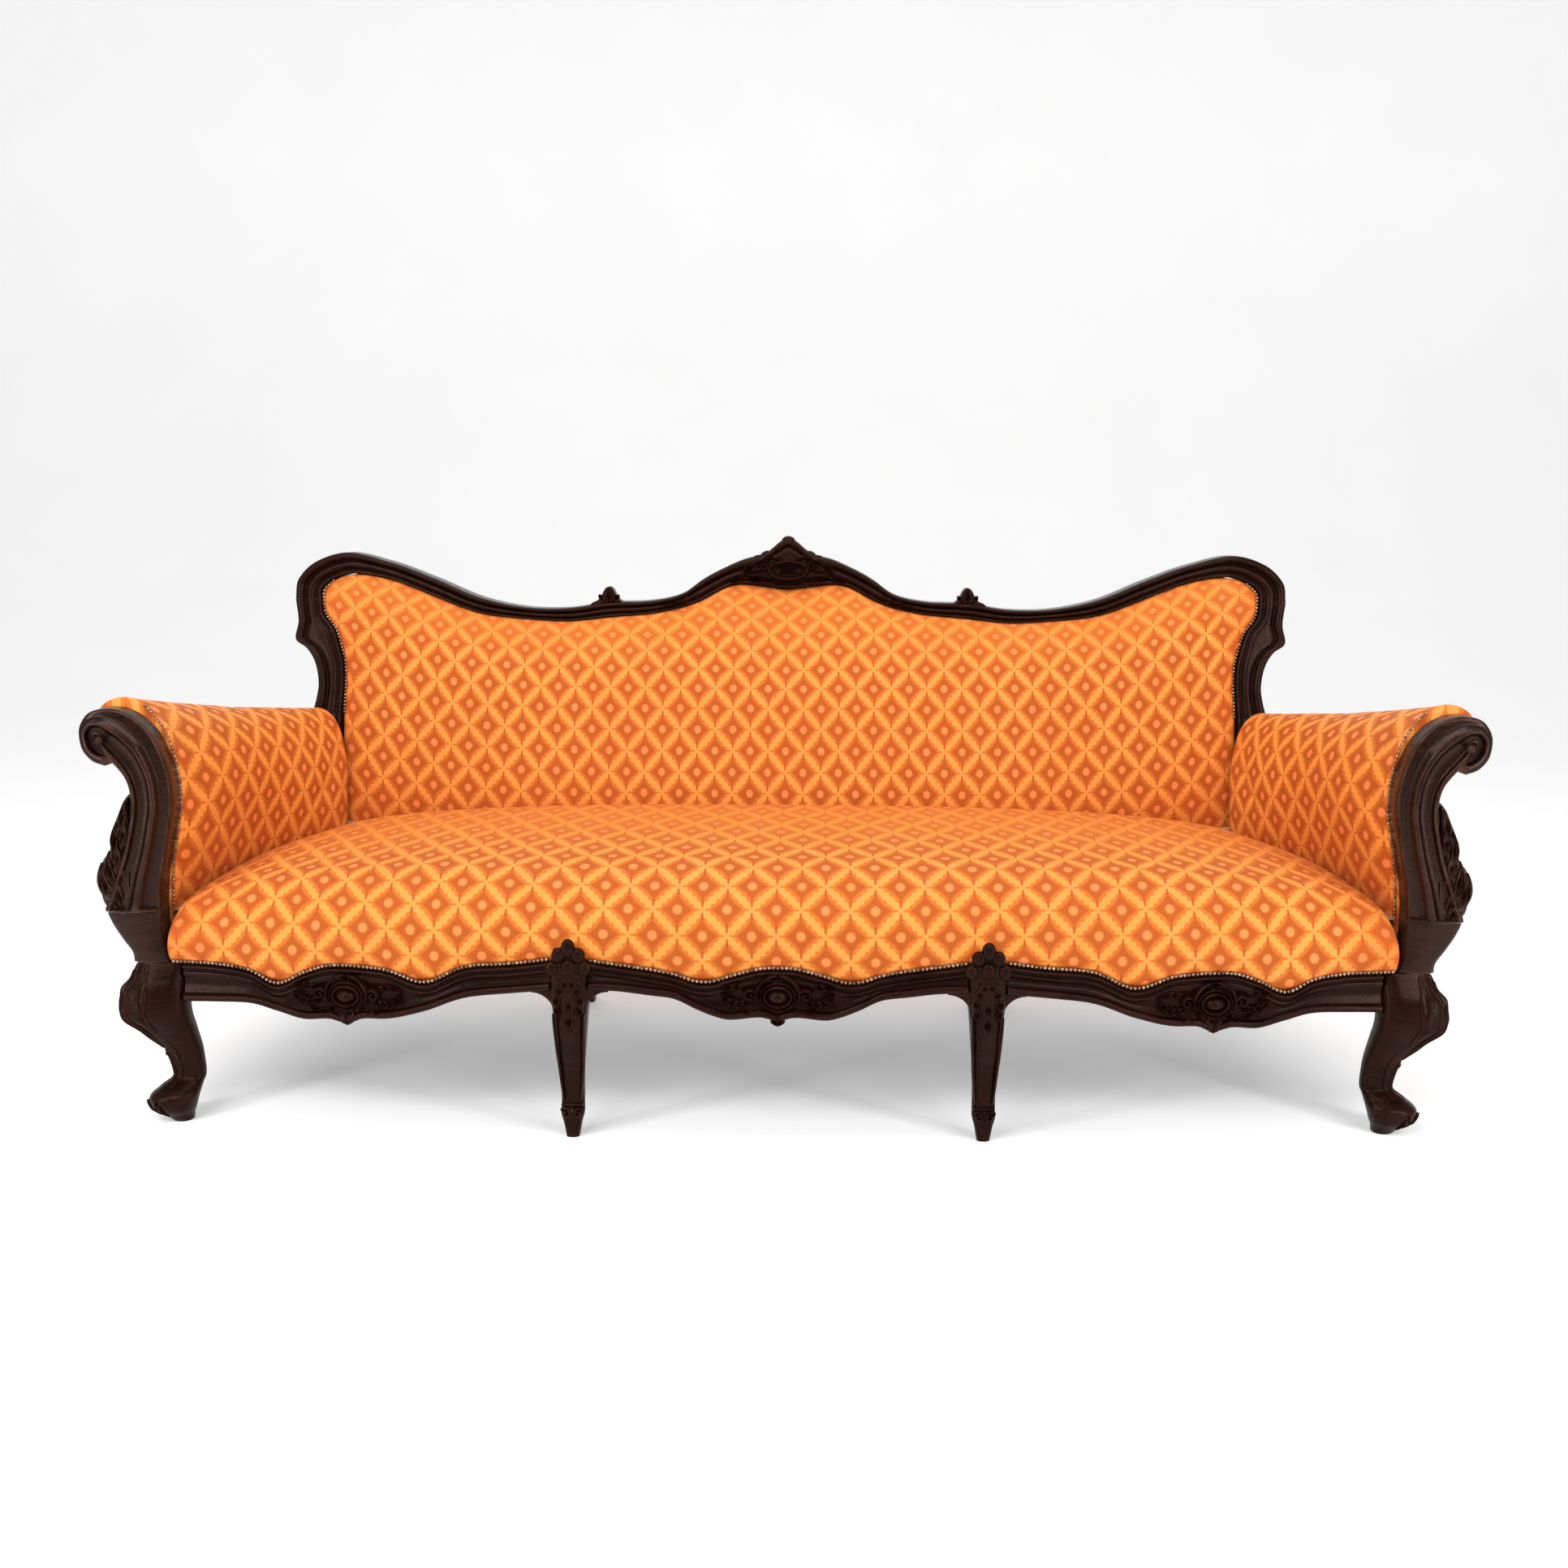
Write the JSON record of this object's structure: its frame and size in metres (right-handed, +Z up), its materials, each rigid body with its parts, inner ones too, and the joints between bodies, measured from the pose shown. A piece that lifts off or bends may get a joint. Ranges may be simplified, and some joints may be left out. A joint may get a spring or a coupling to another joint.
{
  "type": "settee",
  "caption": "Upholstered settee with a carved serpentine wood frame, pointed crest, rolled scroll arms, a sprung tight seat and back, and scroll-toed cabriole legs.",
  "frame": {"origin": "on the floor under the middle of the bounding box", "axes": "+X to the sitter's left along the length, the front faces -Y, +Z up"},
  "size_m": [2.1776, 0.8454, 0.923],
  "materials": {
    "show_wood": "dark red-brown mahogany, French polished, worn lighter on the edges",
    "inner_wood": "plain sawn beech",
    "cover_fabric": "satin jacquard, gold lattice of leaf bars on orange with a ringed dot in each diamond",
    "lining": "black cotton lining",
    "webbing": "woven jute",
    "stuffing": "horsehair and fibre wadding",
    "spring_steel": "drawn spring wire tied with twine"
  },
  "bodies": {
    "root": {"crest_rail_center": "show_wood", "top_rail_right": "show_wood", "top_rail_left": "show_wood", "rail_finial_right": "show_wood", "rail_finial_left": "show_wood", "back_post_right": "show_wood", "back_post_left": "show_wood", "rear_leg_mid_right": "show_wood", "rear_leg_mid_left": "show_wood", "front_rail_center": "show_wood", "front_rail_right": "show_wood", "front_rail_left": "show_wood", "front_leg_mid_right": "show_wood", "front_leg_mid_left": "show_wood", "front_leg_right": "show_wood", "front_leg_left": "show_wood", "arm_post_right": "show_wood", "arm_post_left": "show_wood", "side_rail_right": "show_wood", "side_rail_left": "show_wood", "rear_rail": "show_wood", "back_bottom_rail": "inner_wood", "back_upright_right": "inner_wood", "back_upright_left": "inner_wood", "seat_brace_right": "inner_wood", "seat_brace_left": "inner_wood", "corner_block_front_right": "inner_wood", "corner_block_front_left": "inner_wood", "corner_block_rear_right": "inner_wood", "corner_block_rear_left": "inner_wood", "arm_top_rail_right": "inner_wood", "arm_top_rail_left": "inner_wood", "arm_tack_rail_right": "inner_wood", "arm_tack_rail_left": "inner_wood", "seat_webbing": "webbing", "seat_hessian": "webbing", "back_webbing": "webbing", "back_hessian": "webbing", "arm_webbing_right": "webbing", "arm_webbing_left": "webbing", "spring_row_front": "spring_steel", "spring_row_rear": "spring_steel", "seat_pad": "stuffing", "back_pad": "stuffing", "arm_pad_right": "stuffing", "arm_pad_left": "stuffing", "seat_cover": "cover_fabric", "back_cover": "cover_fabric", "arm_cover_right": "cover_fabric", "arm_cover_left": "cover_fabric", "outside_back": "cover_fabric", "outside_arm_right": "cover_fabric", "outside_arm_left": "cover_fabric", "dust_cover": "lining"}
  },
  "joints": []
}
